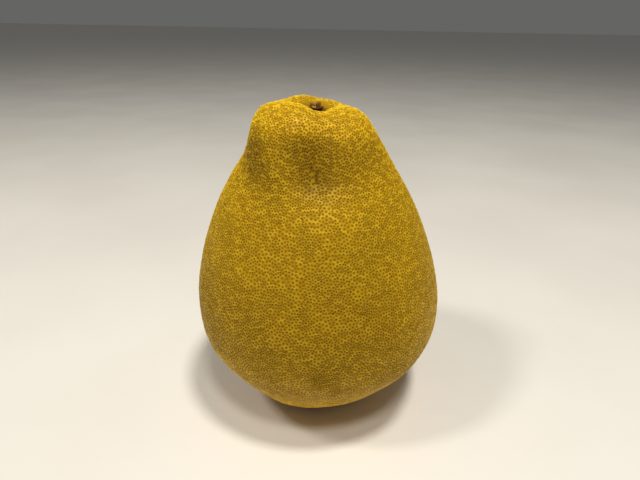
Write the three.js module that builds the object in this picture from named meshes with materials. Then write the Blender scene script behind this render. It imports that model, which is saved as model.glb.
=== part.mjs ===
// A pear-shaped grapefruit (pomelo) standing on the small flat spot at its blossom end.
// Millimetres, +Z up. The origin is the centre of the underside of the fruit's bounding box.

import * as THREE from 'three';
import { mergeVertices } from 'three/addons/utils/BufferGeometryUtils.js';

// ---------------------------------------------------------------- driving dimensions

const NECK_TOP = 168.4; // height of the neck end, between its lobes
const BODY_RADIUS = 67.6; // the widest part of the body
const BODY_HEIGHT = 68; // height of that widest part
const LEAN = -0.04; // how far the centre line moves along X for each millimetre of height
const SPOT_RADIUS = 17; // the flat spot that the fruit rests on
const SPOT_BLEND = 8; // height by which the swellings reach their full lift
const SCAR_RADIUS = 3.4; // the dimple of the blossom scar, in the middle of the flat spot
const SCAR_DEPTH = 1.3;

const PIT_RADIUS = 4.2; // the stem pit, halfway up its wall
const PIT_DEPTH = 2.7; // below the neck's top; the lobes round it stand higher
const PIT_X = 0.5; // the pit's place off the neck's centre line
const PIT_Y = 4;
const PIT_SPREAD = 12.6; // how far from the pit the surface follows it sideways

const CALYX_RADIUS = 4.3; // the dried calyx, over the tips of its lobes
const CALYX_RISE = 1.9; // how far its lobes turn up
const CALYX_THICKNESS = 0.6;
const CALYX_LOBES = 5;
const CALYX_NOTCH = 0.35; // how deep the notches between the lobes are, as a share of the radius
const CALYX_TILT = 0.12; // radians, leaning to the front
const STALK_RADIUS = 1.3; // the broken end of the stalk, standing in the calyx
const STALK_HEIGHT = 3.2;
const GAP = 0.3; // clearance between the fruit and the calyx

// The half outline from the middle of the pit to the middle of the underside,
// as [radius, height].
const PROFILE = [
  [0, NECK_TOP - PIT_DEPTH],
  [PIT_RADIUS * 0.45, NECK_TOP - PIT_DEPTH + 0.1],
  [PIT_RADIUS, NECK_TOP - PIT_DEPTH * 0.55],
  [PIT_RADIUS * 1.5, NECK_TOP - PIT_DEPTH * 0.12],
  [PIT_RADIUS * 2.2, NECK_TOP],
  [17, NECK_TOP],
  [21.9, NECK_TOP - 1.8],
  [26.3, 162.6],
  [31.6, 156],
  [37.1, 148],
  [45, 134],
  [54.8, 114],
  [63, 92],
  [BODY_RADIUS, BODY_HEIGHT],
  [65.2, 46],
  [53.4, 28],
  [39, 14],
  [27.4, 5],
  [21.4, 1.5],
  [SPOT_RADIUS, 0],
  [SPOT_RADIUS * 0.7, 0],
  [SCAR_RADIUS * 1.4, 0],
  [SCAR_RADIUS * 0.6, SCAR_DEPTH * 0.7],
  [0, SCAR_DEPTH],
];

// Broad swellings (positive) and hollows (negative) of the rind: the place of the middle,
// how far it reaches along X, Y and Z, and how far it lifts the surface.
const FORMS = [
  // the lobes round the stem pit
  { at: [-15, 13, 168], reach: [9, 9, 12], lift: 4.2 },
  { at: [0, 15, 168], reach: [8, 8, 12], lift: 1.7 },
  { at: [-32, -8, 166], reach: [8, 10, 11], lift: 6 },
  { at: [-15, -13, 168], reach: [8, 8, 10], lift: 1.9 },
  { at: [15, -9, 168], reach: [9, 9, 12], lift: 3 },
  // their fronts, which bulge out over the neck
  { at: [-18, -24, 161], reach: [10.5, 10, 9.5], lift: 6.6 },
  { at: [-27, -27, 150], reach: [8, 10, 8], lift: 2.2 },
  { at: [12, -22, 161], reach: [9, 9, 7], lift: 2.2 },
  // the hollows under the lobes, where the neck draws in, and the swelling between two of them
  { at: [-43, -8, 148], reach: [14, 22, 11], lift: -2 },
  { at: [-7, -34, 147], reach: [6.5, 12, 9], lift: -2.6 },
  { at: [-33, -26, 143], reach: [7, 9, 8], lift: -1.1 },
  { at: [-15, -31, 155], reach: [6, 8, 6], lift: -0.8 },
  { at: [-21, -32, 146], reach: [7, 9, 7], lift: 0.9 },
  { at: [3, -37, 141], reach: [13, 10, 7], lift: -3 },
  { at: [-8, 38, 146], reach: [20, 14, 12], lift: -1 },
  { at: [34, -4, 142], reach: [10, 18, 12], lift: -0.7 },
  // broad shallow ribs and flutes down the body
  { at: [42, -50, 80], reach: [9, 30, 45], lift: 1.8 },
  { at: [-52, 42, 85], reach: [9, 30, 45], lift: 2.3 },
  { at: [12, 66, 80], reach: [8, 30, 50], lift: -1.3 },
  { at: [60, -5, 60], reach: [14, 30, 16], lift: -0.4 },
  // flatter and fuller places low on the body
  { at: [34, 40, 18], reach: [20, 20, 16], lift: -1.2 },
  { at: [-22, -30, 10], reach: [14, 14, 12], lift: 2.7 },
  { at: [44, -30, 30], reach: [16, 20, 16], lift: -2.5 },
];

// Furrows that run out from the stem pit between the lobes, seen from above: the heading in
// degrees from +X, where the furrow ends, how wide it is and how deep.
const FURROWS = [
  { heading: -86, length: 25, halfWidth: 3, depth: 3.4 },
  { heading: 18, length: 19, halfWidth: 2.2, depth: 1.4 },
  { heading: 80, length: 20, halfWidth: 2.4, depth: 1.3 },
  { heading: 176, length: 19, halfWidth: 2.2, depth: 1.2 },
];
const FURROW_FADE = 0.3; // the share of its length after which a furrow grows shallower

const FRUIT_DETAIL = 19; // how many times each side of an icosahedron is cut
const PIT_CROWDING = 0.8; // how much closer together the points are at the stem pit
const PIT_CROWDING_REACH = 0.12; // how far along the outline they stay closer

const { clamp, degToRad, smoothstep } = THREE.MathUtils;

// ---------------------------------------------------------------- the fruit

const profileCurve = new THREE.CatmullRomCurve3(
  PROFILE.map(([radius, height]) => new THREE.Vector3(radius, height, 0)),
);
profileCurve.arcLengthDivisions = 2000;

const pit = new THREE.Vector3(LEAN * NECK_TOP + PIT_X, PIT_Y, NECK_TOP - PIT_DEPTH);

function formLift(point) {
  let lift = 0;
  for (const form of FORMS) {
    const x = (point.x - form.at[0]) / form.reach[0];
    const y = (point.y - form.at[1]) / form.reach[1];
    const z = (point.z - form.at[2]) / form.reach[2];
    lift += form.lift * Math.exp(-0.5 * (x * x + y * y + z * z));
  }
  return lift;
}

function furrowDepth(point) {
  const x = point.x - pit.x;
  const y = point.y - pit.y;
  let depth = 0;
  for (const furrow of FURROWS) {
    const angle = degToRad(furrow.heading);
    const along = x * Math.cos(angle) + y * Math.sin(angle);
    const aside = y * Math.cos(angle) - x * Math.sin(angle);
    const starts = smoothstep(along, 0, PIT_RADIUS);
    const ends = 1 - smoothstep(along, furrow.length * FURROW_FADE, furrow.length);
    depth += furrow.depth * starts * ends * Math.exp(-0.5 * (aside / furrow.halfWidth) ** 2);
  }
  return depth;
}

// The point of the rind at a share of the way along the outline and a turn round the axis.
function rindPoint(share, turn) {
  const { x: radius, y: height } = profileCurve.getPointAt(share);
  const tangent = profileCurve.getTangentAt(share);
  const inUpperHalf = height > BODY_HEIGHT;
  const followsPit = inUpperHalf ? Math.exp(-0.5 * (radius / PIT_SPREAD) ** 2) : 0;
  const point = new THREE.Vector3(
    LEAN * height + PIT_X * followsPit + radius * Math.cos(turn),
    PIT_Y * followsPit + radius * Math.sin(turn),
    height,
  );
  const outward = new THREE.Vector3(
    -tangent.y * Math.cos(turn),
    -tangent.y * Math.sin(turn),
    tangent.x,
  );
  // the floor of the pit and the flat spot keep the outline's own height
  const free = inUpperHalf
    ? smoothstep(radius, PIT_RADIUS, PIT_RADIUS * 3)
    : smoothstep(height, 0, SPOT_BLEND);
  const lift = formLift(point) * free - (inUpperHalf ? furrowDepth(point) : 0);
  point.addScaledVector(outward, lift);
  point.z = Math.max(point.z, 0);
  return point;
}

function makeFruitGeometry() {
  const ball = new THREE.IcosahedronGeometry(1, FRUIT_DETAIL);
  ball.deleteAttribute('normal');
  ball.deleteAttribute('uv');
  const geometry = mergeVertices(ball, 1e-5);
  const positions = geometry.getAttribute('position');
  const direction = new THREE.Vector3();
  for (let i = 0; i < positions.count; i += 1) {
    direction.fromBufferAttribute(positions, i).normalize();
    const share = Math.acos(clamp(direction.z, -1, 1)) / Math.PI;
    const crowding = PIT_CROWDING * Math.exp(-share / PIT_CROWDING_REACH);
    const turn = Math.atan2(direction.y, direction.x);
    const point = rindPoint(share * (1 - crowding), turn);
    positions.setXYZ(i, point.x, point.y, point.z);
  }
  geometry.computeVertexNormals();
  return geometry;
}

// ---------------------------------------------------------------- the stem button

// A shallow cup whose rim is notched into lobes, with the stump of the stalk standing in it.
function makeStemButtonGeometry() {
  const outline = [
    [0, 0],
    [CALYX_RADIUS * 0.35, 0],
    [CALYX_RADIUS, CALYX_RISE],
    [CALYX_RADIUS * 0.97, CALYX_RISE + CALYX_THICKNESS],
    [CALYX_RADIUS * 0.45, CALYX_THICKNESS + 0.4],
    [STALK_RADIUS * 1.1, CALYX_THICKNESS + 0.5],
    [STALK_RADIUS * 0.95, STALK_HEIGHT * 0.9],
    [STALK_RADIUS * 0.6, STALK_HEIGHT],
    [0, STALK_HEIGHT * 0.95],
  ];
  const lathe = new THREE.LatheGeometry(
    outline.map(([radius, height]) => new THREE.Vector2(radius, height)),
    CALYX_LOBES * 8,
  );
  lathe.deleteAttribute('normal');
  lathe.deleteAttribute('uv');
  const geometry = mergeVertices(lathe, 1e-4);
  const positions = geometry.getAttribute('position');
  for (let i = 0; i < positions.count; i += 1) {
    const x = positions.getX(i);
    const z = positions.getZ(i);
    const outer = smoothstep(Math.hypot(x, z), STALK_RADIUS * 1.2, CALYX_RADIUS);
    const between = 0.5 - 0.5 * Math.cos(CALYX_LOBES * Math.atan2(z, x));
    const scale = 1 - CALYX_NOTCH * outer * between;
    positions.setX(i, x * scale);
    positions.setZ(i, z * scale);
  }
  geometry.rotateX(Math.PI / 2);
  geometry.computeVertexNormals();
  return geometry;
}

// ---------------------------------------------------------------- materials and assembly

const rind = new THREE.MeshStandardMaterial({ color: 0xc2931f, roughness: 0.45, metalness: 0 });
const driedCalyx = new THREE.MeshStandardMaterial({ color: 0x6b4a23, roughness: 0.9, metalness: 0 });

const fruit = new THREE.Mesh(makeFruitGeometry(), rind);
fruit.name = 'fruit';

const stemButton = new THREE.Mesh(makeStemButtonGeometry(), driedCalyx);
stemButton.name = 'stem_button';
stemButton.position.copy(pit);
stemButton.position.z += GAP + CALYX_RADIUS * Math.sin(CALYX_TILT);
stemButton.rotation.x = CALYX_TILT;

const group = new THREE.Group();
group.add(fruit, stemButton);

// Stand the fruit with the middle of its bounding box's underside on the origin.
const box = new THREE.Box3().setFromObject(fruit);
const middle = box.getCenter(new THREE.Vector3());
group.position.set(-middle.x, -middle.y, -box.min.z);

export default group;
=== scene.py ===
import math

import bmesh
import bpy
import numpy as np
from mathutils import Matrix, Vector, noise
from mathutils.bvhtree import BVHTree
from mathutils.geometry import delaunay_2d_cdt


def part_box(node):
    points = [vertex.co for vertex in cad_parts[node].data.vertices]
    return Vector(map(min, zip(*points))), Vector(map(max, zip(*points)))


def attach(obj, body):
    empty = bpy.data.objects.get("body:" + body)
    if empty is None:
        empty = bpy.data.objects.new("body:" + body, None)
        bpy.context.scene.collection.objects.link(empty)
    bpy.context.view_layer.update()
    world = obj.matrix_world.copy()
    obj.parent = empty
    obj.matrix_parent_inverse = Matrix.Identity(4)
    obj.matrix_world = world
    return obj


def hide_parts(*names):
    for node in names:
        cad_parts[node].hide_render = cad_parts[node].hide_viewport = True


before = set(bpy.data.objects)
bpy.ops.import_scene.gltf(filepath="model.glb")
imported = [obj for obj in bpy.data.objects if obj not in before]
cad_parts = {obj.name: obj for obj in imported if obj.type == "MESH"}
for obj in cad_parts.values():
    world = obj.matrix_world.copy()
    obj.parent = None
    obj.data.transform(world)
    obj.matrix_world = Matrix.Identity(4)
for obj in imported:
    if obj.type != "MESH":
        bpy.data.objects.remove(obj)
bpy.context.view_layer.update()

# A pear-shaped grapefruit. Lengths are in millimetres until a mesh is made, and places are in
# the row frame: +Z up, the origin under the middle of the fruit.

MM = 0.001
SEED = 7

button_low, button_high = (np.array(corner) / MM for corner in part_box("stem_button"))
PIT = np.array([*(button_low + button_high)[:2] / 2, button_low[2]])
LEAN = -0.04  # how far the fruit's centre line moves along X for each millimetre of height
FOOT = np.array([2.8, 0.1, 0.0])  # where the centre line meets the ground
HEART = np.array([-0.5, 0.1, 84.0])  # a point inside from which the whole rind can be seen

# Oil glands
GLAND_SPACING = 1.58  # between neighbours on the body
NECK_SPACING = 1.46
PIT_SPACING = 0.8
SCAR_SPACING = 1.0  # on the flat spot, round the blossom scar
RELAX_ROUNDS = 6
GLAND_DEPTH = 0.3
GLAND_SPREAD = 0.14  # in how deep and dark a gland is, as a share
CORNER_RISE = 0.09  # how far the rind stands proud where three glands meet

# The rind's broad unevenness: wavelength, height on the body, more height on the neck, and a
# place in the noise.
UNEVENNESS = [
    (10, 0.09, 0.2, 3),
    (27, 0.16, 0.1, 90),
]

# Creases down the front of the neck, as seen from the front: [x, z] of both ends, half width
# and depth.
CREASES = [
    ((-1.9, 149.0), (-1.7, 138.0), 1.0, 1.1),
    ((-4.4, 151.0), (-3.9, 144.0), 0.8, 0.5),
]

# Folds that run down into the pit
PIT_FOLDS = 8
FOLD_HEIGHT = 0.16
FOLD_DISTANCE = 5.2  # from the pit's middle to where they are highest

# Brown furrows out of the pit, as seen from above: [x, y] of both ends from the pit's middle,
# how brown they are, how much of it fades along the way, and half width.
STAINED_FURROWS = [
    ((0, -3), (0.4, -32), 0.55, 0.7, 1.8),
    ((3, 0.5), (16, 3.5), 0.5, 0.8, 1.4),
]

# Both ends of a thin healed scratch low on the front
SCRATCH = ((-29.1, -58.4, 50.3), (-24.7, -59.9, 44.8))

BROW_SHADE_HEIGHT = 157  # the middle of the band of painted shade under the front lobes

# How much painted shade the rind gets in the broad hollows and in the creases, from 0, the painted
# light factor below, to 1, the painted shade factor
HOLLOW_PAINTED_SHADE = 0.62
CREASE_PAINTED_SHADE = 0.95


def smoothstep(value, low, high):
    share = np.clip((value - low) / (high - low), 0, 1)
    return share * share * (3 - 2 * share)


def bell(value, width):
    return np.exp(-0.5 * (value / width) ** 2)


def noise_at(points, wavelength, offset=0.0):
    """Smooth noise, about -1 to 1, at each point."""
    return np.array([noise.noise(p) for p in (points / wavelength + offset).tolist()])


def mesh_object(name, vertices, faces, material):
    """A smooth-shaded object from vertices in millimetres."""
    mesh = bpy.data.meshes.new(name)
    mesh.from_pydata((np.asarray(vertices) * MM).tolist(), [], np.asarray(faces).tolist())
    mesh.polygons.foreach_set("use_smooth", [True] * len(mesh.polygons))
    mesh.materials.append(material)
    mesh.update()
    obj = bpy.data.objects.new(name, mesh)
    bpy.context.scene.collection.objects.link(obj)
    return obj


def add_attribute(obj, name, values):
    """A number for each vertex."""
    attribute = obj.data.attributes.new(name, "FLOAT", "POINT")
    attribute.data.foreach_set("value", np.asarray(values, dtype=np.float32))


def add_face_vectors(obj, name, values):
    """A vector for each triangle, the same at its three corners."""
    attribute = obj.data.attributes.new(name, "FLOAT_VECTOR", "CORNER")
    vectors = np.repeat(np.asarray(values, dtype=np.float32), 3, axis=0)
    attribute.data.foreach_set("vector", vectors.reshape(-1))


# ------------------------------------------------------------------ node helpers


class Nodes:
    """Adds nodes to a material's tree, and links what each one reads."""

    def __init__(self, material):
        material.use_nodes = True
        self.tree = material.node_tree
        self.tree.nodes.clear()

    def add(self, kind, inputs=None, **settings):
        node = self.tree.nodes.new(kind)
        for name, value in settings.items():
            setattr(node, name, value)
        for name, value in (inputs or {}).items():
            if isinstance(value, bpy.types.NodeSocket):
                self.tree.links.new(value, node.inputs[name])
            else:
                node.inputs[name].default_value = value
        return node

    def math(self, operation, *values, clamp=False):
        node = self.add("ShaderNodeMath", dict(enumerate(values)), operation=operation)
        node.use_clamp = clamp
        return node.outputs[0]

    def vector(self, operation, *values, output=0):
        node = self.add("ShaderNodeVectorMath", dict(enumerate(values)), operation=operation)
        return node.outputs[output]

    def attribute(self, name, output="Fac"):
        return self.add("ShaderNodeAttribute", attribute_name=name).outputs[output]

    def axis(self, vector, name):
        return self.add("ShaderNodeSeparateXYZ", {0: vector}).outputs[name]

    def map(self, value, low, high, to_low=0.0, to_high=1.0):
        """value, smoothly stepped from low..high to to_low..to_high."""
        node = self.add(
            "ShaderNodeMapRange",
            {"Value": value, "From Min": low, "From Max": high, "To Min": to_low, "To Max": to_high},
            interpolation_type="SMOOTHSTEP",
        )
        return node.outputs["Result"]

    def scale(self, vector, factor):
        inputs = {0: vector, "Scale": factor}
        return self.add("ShaderNodeVectorMath", inputs, operation="SCALE").outputs[0]

    def noise(self, position, scale, detail=2.0, roughness=0.5):
        inputs = {"Vector": position, "Scale": scale, "Detail": detail, "Roughness": roughness}
        return self.add("ShaderNodeTexNoise", inputs).outputs["Fac"]

    def mix(self, share, first, second, blend="MIX"):
        inputs = {0: share, 6: first, 7: second}
        node = self.add("ShaderNodeMix", data_type="RGBA", blend_type=blend)
        for number, value in inputs.items():
            if isinstance(value, bpy.types.NodeSocket):
                self.tree.links.new(value, node.inputs[number])
            else:
                node.inputs[number].default_value = value
        return node.outputs[2]

    def bump(self, height, distance, strength=1.0, normal=None):
        inputs = {"Height": height, "Distance": distance, "Strength": strength}
        if normal is not None:
            inputs["Normal"] = normal
        return self.add("ShaderNodeBump", inputs).outputs["Normal"]

    def finish(self, inputs):
        shader = self.add("ShaderNodeBsdfPrincipled", inputs)
        self.add("ShaderNodeOutputMaterial", {"Surface": shader.outputs["BSDF"]})


def per_mm(wavelength):
    """A texture scale, in 1/m, whose features are that many millimetres apart."""
    return 1 / (wavelength * MM)


def line_distance(nodes, position, start, end):
    """The distance in metres from position to the line between two points."""
    start, end = Vector(start) * MM, Vector(end) * MM
    span = end - start
    offset = nodes.vector("SUBTRACT", position, start)
    along = nodes.vector("DOT_PRODUCT", offset, span / span.length_squared, output=1)
    along = nodes.math("ADD", along, 0.0, clamp=True)
    nearest = nodes.scale(span, along)
    return nodes.vector("LENGTH", nodes.vector("SUBTRACT", offset, nearest), output=1)


# ------------------------------------------------------------------ materials

# The rind's two ground colours and the colours of its features
WARM = (0.37, 0.21, 0.002, 1)
COOL = (0.35, 0.204, 0.001, 1)
PATCH = (0.405, 0.233, 0.002, 1)
RIDGE = (0.62, 0.41, 0.016, 1)
GLAND = (0.2, 0.1, 0.001, 1)
SPECK = (0.12, 0.05, 0.004, 1)
SCRATCH_BROWN = (0.1, 0.045, 0.004, 1)
RUSSET = (0.29, 0.115, 0.01, 1)
# deep brown: the blossom scar's russet, and deep in the pit partly painted shadow round the calyx
DEEP_BROWN_AND_PIT_SHADOW = (0.075, 0.03, 0.006, 1)

# What the rind's colour is multiplied by at either end of its darkness: painted light where it faces
# up, painted shade in hollows and creases
PAINTED_LIGHT = (1.3, 1.3, 1.2, 1)
PAINTED_SHADE = (0.27, 0.19, 0.07, 1)


def rind_colour(nodes, place, out, dot, brown):
    """The rind's colour. out is how far a place is from its gland's middle, dot how much of a
    gland's dark dot it is in, and brown how russet it is."""
    # the rind between the glands, lighter along the crests of its wrinkles: partly its own paler
    # tissue, partly painted highlight on the crests
    broad = nodes.noise(place, per_mm(38), 3.0)
    patches = nodes.noise(place, per_mm(9), 3.0, 0.6)
    warm = nodes.mix(nodes.map(broad, 0.35, 0.65), WARM, COOL)
    ground = nodes.mix(nodes.map(patches, 0.3, 0.7, 0.0, 0.3), warm, PATCH)
    crest = nodes.map(nodes.attribute("crest"), 0.2, 0.85)
    ridge = nodes.math("MULTIPLY", crest, nodes.map(out, 0.3, 1.0, 0.0, 0.85))
    pale = nodes.mix(ridge, ground, RIDGE)

    # the glands show through as darker dots
    colour = nodes.mix(nodes.math("MULTIPLY", dot, 0.64), pale, GLAND)

    # painted light and shade: darker in the broad hollows, under the front lobes and in the creases,
    # lighter where the rind faces up
    shade = nodes.mix(nodes.attribute("dark"), PAINTED_LIGHT, PAINTED_SHADE)
    colour = nodes.mix(1.0, colour, shade, "MULTIPLY")

    # painted light: paler on the neck's lobes, lit from above, and towards the blossom end, lit by
    # light bounced off the floor; heights in metres
    height = nodes.axis(place, "Z")
    painted_neck_light = nodes.map(height, 0.128, 0.166, 0.0, 0.1)
    painted_floor_bounce = nodes.map(height, 0.02, 0.07, 0.75, 0.0)
    ends = nodes.math("ADD", nodes.math("ADD", painted_neck_light, painted_floor_bounce), 1.0)
    colour = nodes.scale(colour, ends)

    # a few brown specks
    cell = nodes.add(
        "ShaderNodeTexVoronoi", {"Vector": place, "Scale": per_mm(7.5), "Randomness": 1.0}
    )
    sparse = nodes.map(nodes.axis(cell.outputs["Color"], "X"), 0.78, 0.84)
    speck = nodes.map(cell.outputs["Distance"], 0.04, 0.075, 1.0, 0.0)
    colour = nodes.mix(nodes.math("MULTIPLY", speck, sparse), colour, SPECK)

    scratch = nodes.map(line_distance(nodes, place, *SCRATCH), 0.00012, 0.00042, 0.75, 0.0)
    colour = nodes.mix(scratch, colour, SCRATCH_BROWN)

    colour = nodes.mix(nodes.map(brown, 0.12, 0.55, 0.0, 0.62), colour, RUSSET)
    return nodes.mix(nodes.map(brown, 0.62, 0.86), colour, DEEP_BROWN_AND_PIT_SHADOW)


def rind_material():
    material = bpy.data.materials.new("rind")
    nodes = Nodes(material)
    place = nodes.add("ShaderNodeTexCoord").outputs["Object"]

    # how far out of the middle of its gland's cell each place is: 1 halfway to the next gland
    offset = nodes.vector("SUBTRACT", place, nodes.attribute("gland_middle", "Vector"))
    cell_shape = nodes.attribute("gland_cell", "Vector")
    out = nodes.vector("LENGTH", offset, output=1)
    out = nodes.math("DIVIDE", out, nodes.axis(cell_shape, "X"))
    depth = nodes.axis(cell_shape, "Y")
    dot = nodes.math("MULTIPLY", nodes.map(out, 0.2, 1.1, 1.0, 0.0), depth)

    # russet round the stem and the blossom scar, with a ragged edge; in the pit the deep brown is
    # partly painted shadow round the calyx
    ragged = nodes.noise(place, per_mm(1.6), 3.0, 0.65)
    ragged = nodes.math("MULTIPLY", nodes.math("SUBTRACT", ragged, 0.5), 0.5)
    brown = nodes.math("ADD", nodes.attribute("stain"), ragged)

    # a soft sheen, dull in the glands and on the russet
    sheen = nodes.noise(place, per_mm(4), 2.0)
    rough = nodes.math("ADD", nodes.map(sheen, 0.3, 0.7, 0.4, 0.52), nodes.math("MULTIPLY", dot, 0.1))
    rough = nodes.math("ADD", rough, nodes.math("MULTIPLY", nodes.map(brown, 0.3, 0.8), 0.3))

    # fine pores, and the round floor of each gland's pit
    pores = nodes.noise(place, per_mm(0.45), 2.0, 0.6)
    normal = nodes.bump(pores, 0.00004, 0.6)
    pit = nodes.math("MULTIPLY", nodes.map(out, 0.1, 1.05, -1.0, 0.0), depth)
    normal = nodes.bump(pit, 0.0003, 1.0, normal)

    nodes.finish(
        {
            "Base Color": rind_colour(nodes, place, out, dot, brown),
            "Roughness": rough,
            "Normal": normal,
            "Diffuse Roughness": 1.0,
            "Specular IOR Level": 0.3,
            "Specular Tint": (1.0, 0.76, 0.3, 1),
            "Subsurface Weight": 0.08,
            "Subsurface Radius": (1.0, 0.5, 0.08),
            "Subsurface Scale": 0.002,
        }
    )
    return material


# The calyx's colours, and those of the stalk's broken end
DRY_DARK = (0.028, 0.01, 0.002, 1)
DRY_LIGHT = (0.12, 0.048, 0.008, 1)
WORN_RIM = (0.26, 0.12, 0.025, 1)
BROKEN_DARK = (0.36, 0.19, 0.06, 1)
BROKEN_LIGHT = (0.6, 0.36, 0.15, 1)


def calyx_material():
    material = bpy.data.materials.new("dried_calyx")
    nodes = Nodes(material)
    place = nodes.add("ShaderNodeTexCoord").outputs["Object"]

    grain = nodes.noise(place, per_mm(0.7), 4.0, 0.7)
    streak = nodes.map(grain, 0.3, 0.7)
    dark = nodes.mix(streak, DRY_DARK, DRY_LIGHT)
    worn = nodes.mix(nodes.math("MULTIPLY", nodes.attribute("rim"), 0.45), dark, WORN_RIM)
    broken = nodes.mix(streak, BROKEN_DARK, BROKEN_LIGHT)
    nodes.finish(
        {
            "Base Color": nodes.mix(nodes.attribute("fresh"), worn, broken),
            "Roughness": nodes.map(grain, 0.2, 0.8, 0.7, 0.95),
            "Normal": nodes.bump(grain, 0.0002, 0.8),
            "Specular IOR Level": 0.12,
        }
    )
    return material


FLOOR_DARK = (0.8, 0.765, 0.7, 1)
FLOOR_LIGHT = (0.83, 0.8, 0.735, 1)


def floor_material():
    material = bpy.data.materials.new("floor")
    nodes = Nodes(material)
    place = nodes.add("ShaderNodeTexCoord").outputs["Object"]
    cloud = nodes.noise(place, per_mm(160), 4.0)
    colour = nodes.mix(nodes.map(cloud, 0.3, 0.7), FLOOR_DARK, FLOOR_LIGHT)
    rough = nodes.map(cloud, 0.3, 0.7, 0.42, 0.5)
    nodes.finish({"Base Color": colour, "Roughness": rough, "Specular IOR Level": 0.3})
    return material


# ------------------------------------------------------------------ the rind

SMOOTH_LEVELS = 2
UV_SHARE = 0.985  # of the square, which leaves a margin round it


class Skin:
    """The smooth surface through the CAD rind. Points can be scattered on it and put back on it."""

    def __init__(self, node):
        mesh = node.data.copy()
        welded = bmesh.new()
        welded.from_mesh(mesh)
        bmesh.ops.remove_doubles(welded, verts=welded.verts, dist=1e-6)
        welded.to_mesh(mesh)
        welded.free()
        cage = bpy.data.objects.new("cage", mesh)
        bpy.context.scene.collection.objects.link(cage)
        cage.modifiers.new("smooth", "SUBSURF").levels = SMOOTH_LEVELS
        smooth = cage.evaluated_get(bpy.context.evaluated_depsgraph_get()).to_mesh()
        smooth.calc_loop_triangles()
        corners = np.empty(len(smooth.loop_triangles) * 3, dtype=np.int32)
        smooth.loop_triangles.foreach_get("vertices", corners)
        places = np.empty(len(smooth.vertices) * 3)
        smooth.vertices.foreach_get("co", places)
        self.triangles = corners.reshape(-1, 3)
        self.places = places.reshape(-1, 3) / MM
        self.tree = BVHTree.FromPolygons(self.places.tolist(), self.triangles.tolist())
        bpy.data.objects.remove(cage)
        bpy.data.meshes.remove(mesh)

    def nearest(self, points):
        return np.array([self.tree.find_nearest(p)[0] for p in points.tolist()])

    def scatter(self, rng, spacing_at):
        """Random points, as many to an area as a honeycomb of that spacing has."""
        a, b, c = (self.places[self.triangles[:, k]] for k in range(3))
        area = np.linalg.norm(np.cross(b - a, c - a), axis=1) / 2
        wanted = area / (spacing_at((a + b + c) / 3) ** 2 * math.sqrt(3) / 2)
        picked = rng.choice(len(area), int(wanted.sum()), p=wanted / wanted.sum())
        u, v = rng.random((2, len(picked), 1))
        flip = u + v > 1
        u, v = np.where(flip, 1 - u, u), np.where(flip, 1 - v, v)
        return a[picked] + u * (b - a)[picked] + v * (c - a)[picked]


def axis_at(height):
    """The fruit's centre line at each height."""
    height = np.asarray(height)
    return FOOT + np.stack([LEAN * height, 0 * height, height], axis=-1)


def gland_spacing(points):
    neck = smoothstep(points[:, 2], 118, 150)
    spacing = GLAND_SPACING + (NECK_SPACING - GLAND_SPACING) * neck
    from_pit = np.linalg.norm(points - PIT, axis=1)
    spacing += (PIT_SPACING - spacing) * (1 - smoothstep(from_pit, 5, 14))
    from_scar = np.linalg.norm(points - FOOT, axis=1)
    return spacing + (SCAR_SPACING - spacing) * (1 - smoothstep(from_scar, 4, 12))


def triangulate(points, pole):
    """Delaunay triangles over the closed surface, anticlockwise from outside. The points are
    seen from HEART and laid flat, which leaves a hole that is closed round the pole."""
    seen = points - HEART
    seen /= np.linalg.norm(seen, axis=1, keepdims=True)
    flat = seen[:, :2] / (1 + seen[:, 2:])
    _, _, faces, origins, _, _ = delaunay_2d_cdt(
        [Vector(p) for p in flat.tolist()], [], [], 0, 1e-12, True
    )
    first = np.array([ids[0] for ids in origins])
    triangles = first[np.array([face[:] for face in faces])]
    corners = flat[triangles]
    turn = np.cross(corners[:, 1] - corners[:, 0], corners[:, 2] - corners[:, 0])
    triangles[turn < 0] = triangles[turn < 0][:, ::-1]
    start, end = directed_edges(triangles)
    count = len(points) + 1
    forward, backward = start * count + end, end * count + start
    open_edge = ~np.isin(forward, backward)
    start, end = start[open_edge], end[open_edge]
    cap = np.stack([end, start, np.full(len(start), pole)], axis=1)
    return np.vstack([triangles, cap])


def directed_edges(triangles):
    start = triangles.T.reshape(-1)
    end = np.roll(triangles, -1, axis=1).T.reshape(-1)
    return start, end


def relax(points, skin, rounds):
    """Evens the points out into near honeycombs. The last point, the pole, stays."""
    pole = len(points) - 1
    for _ in range(rounds):
        triangles = triangulate(points[:pole], pole)
        a, b, c = (points[triangles[:, k]] for k in range(3))
        middle = (a + b + c) / 3
        weight = np.linalg.norm(np.cross(b - a, c - a), axis=1) * gland_spacing(middle) ** -4
        corner = triangles.T.reshape(-1)
        weights = np.tile(weight, 3)
        total = np.bincount(corner, weights, len(points))
        moved = [
            np.bincount(corner, weights * np.tile(middle[:, k], 3), len(points)) / total
            for k in range(3)
        ]
        points[:pole] = skin.nearest(np.stack(moved, axis=1)[:pole])
    return points, triangulate(points[:pole], pole)


def gland_cells(points, triangles, skin):
    """The vertices and faces of a mesh in which each gland is the middle of a small cell, and
    the middles of the triangles between glands are the cells' corners."""
    corners = skin.nearest(points[triangles].mean(axis=1))
    start, end = directed_edges(triangles)
    left = np.tile(np.arange(len(triangles)), 3)
    count = len(points)
    key, mirrored = start * count + end, end * count + start
    order = np.argsort(key)
    right = left[order[np.searchsorted(key[order], mirrored)]]
    faces = np.stack([start, count + right, count + left], axis=1)
    return np.vstack([points, corners]), faces, right.reshape(3, -1)


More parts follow.
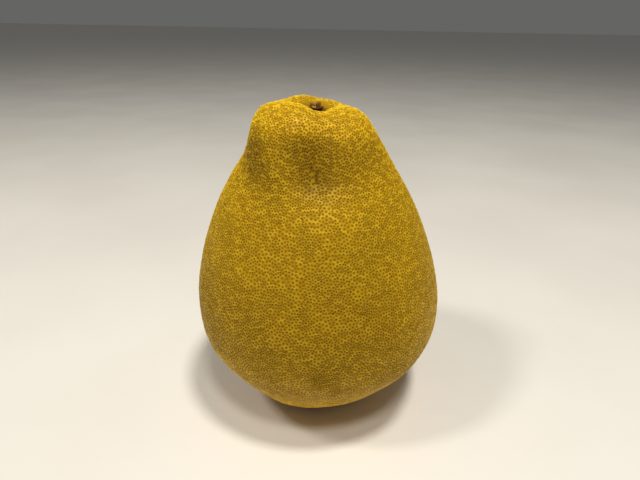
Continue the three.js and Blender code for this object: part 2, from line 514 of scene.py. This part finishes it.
def wrinkles(rng, corners, beside):
    """How high each corner stands, with a spread of 1. High corners form chains that mostly
    run round the fruit. beside holds the three corners next to each one."""
    spoke = corners - axis_at(corners[:, 2])
    spoke[:, 2] = 0
    spoke /= np.linalg.norm(spoke, axis=1, keepdims=True) + 1e-9
    around = np.cross([0, 0, 1], spoke)
    turn = 1.5 * noise_at(corners, 7, 40)[:, None]
    run = np.cos(turn) * around + np.sin(turn) * (np.array([0, 0, 1]) - 0.5 * spoke)
    step = corners[beside] - corners
    step /= np.linalg.norm(step, axis=2, keepdims=True)
    share = np.sum(step * run, axis=2) ** 2
    stand = rng.normal(0, 1, len(corners))
    for _ in range(2):
        stand = stand + 0.8 * np.sum(share * stand[beside], axis=0)
    level = stand
    for _ in range(12):
        level = (level + level[beside].sum(axis=0)) / 4
    stand = stand - level
    return stand / stand.std()


def hollowness(points, triangles, normals, rounds=45):
    """How far each point lies below the level of the rind round it, in millimetres."""
    start, end = directed_edges(triangles)
    degree = np.bincount(start, minlength=len(points))
    level = points
    for _ in range(rounds):
        level = np.stack(
            [np.bincount(start, level[end, k], len(points)) / degree for k in range(3)], axis=1
        )
    return np.sum((level - points) * normals, axis=1)


def vertex_normals(vertices, faces):
    a, b, c = (vertices[faces[:, k]] for k in range(3))
    normal = np.cross(b - a, c - a)
    total = np.stack(
        [np.bincount(faces.T.reshape(-1), np.tile(normal[:, k], 3), len(vertices)) for k in range(3)],
        axis=1,
    )
    return total / np.linalg.norm(total, axis=1, keepdims=True)


def line_share(points, start, end):
    """The distance to a line from start to end, and how far along the line, from 0 to 1."""
    start, end = np.array(start), np.array(end)
    span = end - start
    along = np.clip((points - start) @ span / (span @ span), 0, 1)
    return np.linalg.norm(points - start - along[:, None] * span, axis=1), along


def unfold(vertices, faces):
    """A UV for each corner of each face: directions from HEART on an octahedron, opened out
    into a square so that equal solid angles have equal areas."""
    seen = vertices - HEART
    seen /= np.linalg.norm(seen, axis=1, keepdims=True)
    corner = seen[faces]
    middle = corner.mean(axis=1, keepdims=True)
    below = corner[..., 2:] < 0
    sign = np.where(np.where(below, middle, corner)[..., :2] < 0, -1.0, 1.0)
    x, y = np.moveaxis(corner[..., :2] * sign, -1, 0)
    radius = np.sqrt(1 - np.abs(corner[..., 2]))
    v = radius * np.arctan2(y, x) * 2 / math.pi
    u = radius - v
    u, v = np.where(below[..., 0], 1 - v, u), np.where(below[..., 0], 1 - u, v)
    return 0.5 + 0.5 * UV_SHARE * sign * np.stack([u, v], axis=-1)


def calmness(vertices):
    """The share of their full depth that the glands have: less by the stem and the scar."""
    near_pit = 1 - smoothstep(np.linalg.norm(vertices - PIT, axis=1), 4, 12)
    near_scar = 1 - smoothstep(np.linalg.norm(vertices - FOOT, axis=1), 2.5, 9)
    return (1 - 0.75 * near_pit) * (1 - 0.7 * near_scar)


def neck_share(vertices):
    """0 on the body and 1 on the neck."""
    return smoothstep(vertices[:, 2], 112, 150)


def creases_at(vertices):
    """For each crease, how deep it is at each vertex, in millimetres, and how much painted shade it
    gets.
    """
    front = vertices[:, 1] < 0
    for start, end, half_width, depth in CREASES:
        distance, along = line_share(vertices[:, [0, 2]], start, end)
        taper = front * np.sin(math.pi * np.clip(along * 0.9 + 0.08, 0, 1))
        # painted shade down the middle of the crease
        dark = CREASE_PAINTED_SHADE * taper * bell(distance, 1.3 * half_width)
        yield depth * taper * bell(distance, half_width), dark


def relief(vertices, is_gland, size, stand, calm):
    """How far each vertex is lifted off the smooth skin, in millimetres."""
    neck = neck_share(vertices)

    # glands sink in, and the rind stands proud between them
    lift = np.where(is_gland, -GLAND_DEPTH * size * (1 + 0.25 * neck), CORNER_RISE) * calm

    # short wrinkles between the glands, strongest on the neck
    lift += (0.06 + 0.08 * neck) * stand * calm

    for wavelength, height, more, offset in UNEVENNESS:
        lift += (height + more * neck) * noise_at(vertices, wavelength, offset)
    for depth, _ in creases_at(vertices):
        lift -= depth

    from_pit = vertices - PIT
    heading = np.arctan2(from_pit[:, 1], from_pit[:, 0])
    fold = np.cos(PIT_FOLDS * heading + 2.2 * noise_at(vertices, 6, 70))
    lift += FOLD_HEIGHT * fold * bell(np.linalg.norm(from_pit, axis=1) - FOLD_DISTANCE, 1.8)

    # the flat spot stays flat
    grounded = smoothstep(vertices[:, 2], 0.05, 3)
    return np.where(lift > 0, lift * grounded, lift * (0.35 + 0.65 * grounded))


def darkness(vertices, normals, hollow):
    """How much painted shade each vertex gets, from 0 to 1: painted light where the rind faces up,
    painted shade in broad hollows and under the front lobes, darkest in the creases."""
    # painted light where the rind faces up, painted shade in the broad hollows
    upward = smoothstep(normals[:, 2], 0.1, 0.7)
    dark = 0.97 + np.where(hollow < 0, 0.35, 0.55) * hollow - 0.6 * upward
    # painted shade in a band under the front lobes
    dark += 0.35 * smoothstep(-vertices[:, 1], 8, 26) * bell(vertices[:, 2] - BROW_SHADE_HEIGHT, 5)
    dark = HOLLOW_PAINTED_SHADE * np.clip(dark, 0, 1)
    # the creases' painted shade
    for _, crease in creases_at(vertices):
        dark = np.maximum(dark, crease)
    return dark


def stain_at(vertices):
    """How brown each vertex is: in the pit, where it is partly painted shadow round the calyx, in the
    furrows out of it and on the scar.
    """
    from_pit = vertices - PIT
    near_top = smoothstep(vertices[:, 2], 140, 150)
    stains = [
        # in the pit: russet, and painted shadow round the calyx
        1.3 * (1 - smoothstep(np.linalg.norm(from_pit, axis=1), 3.4, 9)),
        0.95 * bell(np.linalg.norm(vertices - FOOT, axis=1), 1.9),
    ]
    for start, end, strength, fade, half_width in STAINED_FURROWS:
        distance, along = line_share(from_pit[:, :2], start, end)
        stains.append(strength * (1 - fade * along) * bell(distance, half_width) * near_top)
    return np.maximum.reduce(stains)


def make_rind(material):
    rng = np.random.default_rng(SEED)
    skin = Skin(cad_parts["fruit"])
    points = skin.nearest(skin.scatter(rng, gland_spacing))
    scar = skin.nearest(FOOT[None])
    points, triangles = relax(np.vstack([points, scar]), skin, RELAX_ROUNDS)
    places, faces, beside = gland_cells(points, triangles, skin)
    normals = vertex_normals(places, faces)
    is_gland = np.arange(len(places)) < len(points)
    calm = calmness(places)

    size = np.clip(rng.normal(1, GLAND_SPREAD, len(places)), 0.6, 1.4)
    stand = np.zeros(len(places))
    stand[~is_gland] = wrinkles(rng, places[~is_gland], beside)
    lift = relief(places, is_gland, size, stand, calm)
    vertices = places + normals * lift[:, None]
    vertices[:, 2] = np.maximum(vertices[:, 2], 0)  # nothing reaches below the ground

    # how pale the rind is: partly its paler tissue between glands, partly painted highlight on the
    # wrinkles' crests
    crest = np.where(is_gland, 0.3, 0.55 + (0.16 + 0.14 * neck_share(places)) * stand)
    hollow = hollowness(points, triangles, normals[is_gland])
    hollow = np.concatenate([hollow, hollow[triangles].mean(axis=1)])

    rind = mesh_object("fruit_rind", vertices, faces, material)
    owner = faces[:, 0]
    cell = gland_spacing(vertices[owner]) / 2 * MM
    depth = size[owner] * calm[owner]
    add_face_vectors(rind, "gland_middle", vertices[owner] * MM)
    add_face_vectors(rind, "gland_cell", np.stack([cell, depth, 0 * cell], axis=1))
    add_attribute(rind, "crest", np.clip(crest, 0, 1) * calm)
    add_attribute(rind, "stain", stain_at(places))
    # the dark attribute carries painted light and painted shade into the rind's colour
    add_attribute(rind, "dark", darkness(places, normals, hollow))
    layer = rind.data.uv_layers.new(name="OFBake")
    layer.data.foreach_set("uv", unfold(vertices, faces).reshape(-1))
    return rind


# ------------------------------------------------------------------ the dried calyx and stalk

CALYX_RADIUS = 4.1
ARM_START = 1.8  # from the middle to where the arms begin
SEGMENTS = 90
FIBRES = 13  # in the stalk
BUTTON_RISE = 0.6  # off the bottom of the pit
BUTTON_TILT = 0.1  # radians, towards the front

# The five arms of the calyx, anticlockwise from the right: how long each one is, as a share,
# and how far it curls up.
ARMS = [(1.0, 0.4), (1.12, 1.5), (1.0, 1.1), (0.85, 0.6), (0.94, 0.3)]

# The half outline from the middle of the underside, round the rim, down into the cup, up the
# stalk and over its broken end: [radius, height, how much of an arm, how much of the stalk,
# how broken].
CUP_OUTLINE = [
    (0.0, 0.1, 0, 0, 0),
    (0.9, 0.1, 0, 0, 0),
    (1.7, 0.2, 0.25, 0, 0),
    (2.5, 0.5, 0.55, 0, 0),
    (3.2, 0.9, 0.8, 0, 0),
    (3.75, 1.35, 0.95, 0, 0),
    (4.1, 1.8, 1, 0, 0),
    (4.12, 2.0, 1, 0, 0),
    (3.95, 2.1, 1, 0, 0),
    (3.55, 1.8, 0.95, 0, 0),
    (3.0, 1.35, 0.8, 0, 0),
    (2.4, 1.0, 0.55, 0, 0),
    (1.85, 0.85, 0.3, 0.1, 0),
    (1.45, 0.95, 0.1, 0.5, 0),
    (1.25, 1.3, 0, 1, 0),
    (1.18, 1.75, 0, 1, 0.1),
    (1.14, 2.2, 0, 1, 0.3),
    (1.1, 2.6, 0, 1, 0.7),
    (1.0, 2.8, 0, 1, 1),
    (0.78, 2.82, 0, 0.8, 1),
    (0.5, 2.55, 0, 0.5, 1),
    (0.25, 2.4, 0, 0.2, 1),
    (0.0, 2.35, 0, 0, 1),
]


def make_stem_button(material):
    rng = np.random.default_rng(SEED + 1)
    turn = np.linspace(0, 2 * math.pi, SEGMENTS, endpoint=False)
    phase = len(ARMS) * turn / 2 + 0.35
    arm = np.abs(np.cos(phase)) ** 0.7  # 1 in the middle of an arm, 0 between two
    number = np.round(phase / math.pi).astype(int) % len(ARMS)
    reach, curl = np.array(ARMS)[number].T

    rings = []
    fresh, rim = [], []
    for radius, height, armed, stalked, broken in CUP_OUTLINE:
        notch = 1 - armed * (1 - arm * reach) * 0.62
        fibre = 1 + 0.1 * stalked * np.cos(FIBRES * turn + 0.6 * np.sin(3 * turn))
        r = radius * notch * fibre
        x, y = r * np.cos(turn), r * np.sin(turn)
        z = np.full(SEGMENTS, height)
        z += armed * curl * arm * smoothstep(radius, ARM_START, CALYX_RADIUS)
        z += 0.22 * stalked * broken * np.cos(5 * turn + 1) * np.cos(9 * turn)
        # the stalk leans to the front and the left, and its broken end slopes that way
        x = x - 0.42 * stalked * (height - 0.9) - 0.25 * broken
        y = y - 0.55 * stalked * (height - 0.9) - 0.35 * broken
        z = z + broken * 0.3 * y
        ring = np.stack([x, y, z], axis=1)
        ring += rng.normal(0, 0.03, ring.shape) * (radius > 0)
        rings.append(ring)
        fresh += [broken] * SEGMENTS
        rim += [float(armed > 0.9)] * SEGMENTS
    rings = np.array(rings)

    wavy = rings[1:-1].reshape(-1, 3)
    wavy[:, 2] += 0.12 * noise_at(wavy, 1.6, 5)
    vertices = np.vstack([rings[0].mean(axis=0), wavy, rings[-1].mean(axis=0)])
    inner = slice(SEGMENTS, -SEGMENTS)
    fresh = [0, *fresh[inner], 1]
    rim = [0, *rim[inner], 0]

    last = len(vertices) - 1
    steps = len(CUP_OUTLINE) - 3  # between the rings, without the two single points
    top = 1 + steps * SEGMENTS
    faces = []
    for k in range(SEGMENTS):
        n = (k + 1) % SEGMENTS
        faces.append((0, 1 + n, 1 + k))
        for row in range(steps):
            low, high = 1 + row * SEGMENTS, 1 + (row + 1) * SEGMENTS
            faces.append((low + k, low + n, high + n))
            faces.append((low + k, high + n, high + k))
        faces.append((top + k, top + n, last))

    tilt = Matrix.Rotation(BUTTON_TILT, 3, "X")
    vertices = vertices @ np.array(tilt).T + PIT + np.array([0, 0, BUTTON_RISE])
    button = mesh_object("dried_calyx_and_stalk", vertices, faces, material)
    add_attribute(button, "fresh", fresh)
    add_attribute(button, "rim", rim)
    return button


# ------------------------------------------------------------------ build the object

rind = make_rind(rind_material())
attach(rind, "root")
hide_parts("fruit")

button = make_stem_button(calyx_material())
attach(button, "root")
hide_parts("stem_button")

# ------------------------------------------------------------------ floor, light and camera

REACH = 12.0  # from the middle of the floor to its edges, in metres

floor_mesh = bpy.data.meshes.new("floor")
floor_mesh.from_pydata(
    [(-REACH, -REACH, 0), (REACH, -REACH, 0), (REACH, REACH, 0), (-REACH, REACH, 0)],
    [],
    [(0, 1, 2, 3)],
)
floor_mesh.materials.append(floor_material())
floor = bpy.data.objects.new("floor", floor_mesh)
bpy.context.scene.collection.objects.link(floor)

# Soft overhead lamps, in metres: the direction each one shines from, and its power in watts
LAMP_AIM = Vector((0, 0, 0.08))
LAMP_DISTANCE = 1.6
LAMP_SIZE = 0.24
LAMP_COLOUR = (1.0, 0.965, 0.9)
ROOM_COLOUR = (0.13, 0.13, 0.127, 1)
LAMPS = [
    ((0.16, -0.23, 0.96), 15.8),
    ((-0.54, -0.24, 0.80), 8.0),
    ((0.08, -0.50, 0.86), 7.6),
]
for number, (direction, power) in enumerate(LAMPS):
    lamp = bpy.data.lights.new(f"lamp_{number}", "AREA")
    lamp.shape = "DISK"
    lamp.size = LAMP_SIZE
    lamp.energy = power
    lamp.color = LAMP_COLOUR
    obj = bpy.data.objects.new(f"lamp_{number}", lamp)
    bpy.context.scene.collection.objects.link(obj)
    towards = Vector(direction).normalized()
    obj.location = LAMP_AIM + towards * LAMP_DISTANCE
    obj.rotation_mode = "QUATERNION"
    obj.rotation_quaternion = towards.to_track_quat("Z", "Y")

world = bpy.data.worlds.new("studio")
world.use_nodes = True
background = world.node_tree.nodes["Background"]
background.inputs["Color"].default_value = ROOM_COLOUR
background.inputs["Strength"].default_value = 1.0
bpy.context.scene.world = world
bpy.context.scene.view_settings.view_transform = "Standard"

CAMERA_PLACE = Vector((0.27, -254.5, 209.6)) * MM
CAMERA_PITCH = math.radians(23.84)  # below level
CAMERA_ROLL = math.radians(1.11)
CAMERA_LENS = 28.125
SENSOR_WIDTH = 36

camera_data = bpy.data.cameras.new("camera")
camera_data.lens = CAMERA_LENS
camera_data.sensor_width = SENSOR_WIDTH
camera_data.clip_start = 0.01
camera = bpy.data.objects.new("camera", camera_data)
camera.location = CAMERA_PLACE
camera.rotation_mode = "QUATERNION"
level = Matrix.Rotation(math.pi / 2 - CAMERA_PITCH, 3, "X")
camera.rotation_quaternion = (level @ Matrix.Rotation(CAMERA_ROLL, 3, "Z")).to_quaternion()
bpy.context.scene.collection.objects.link(camera)
bpy.context.scene.camera = camera
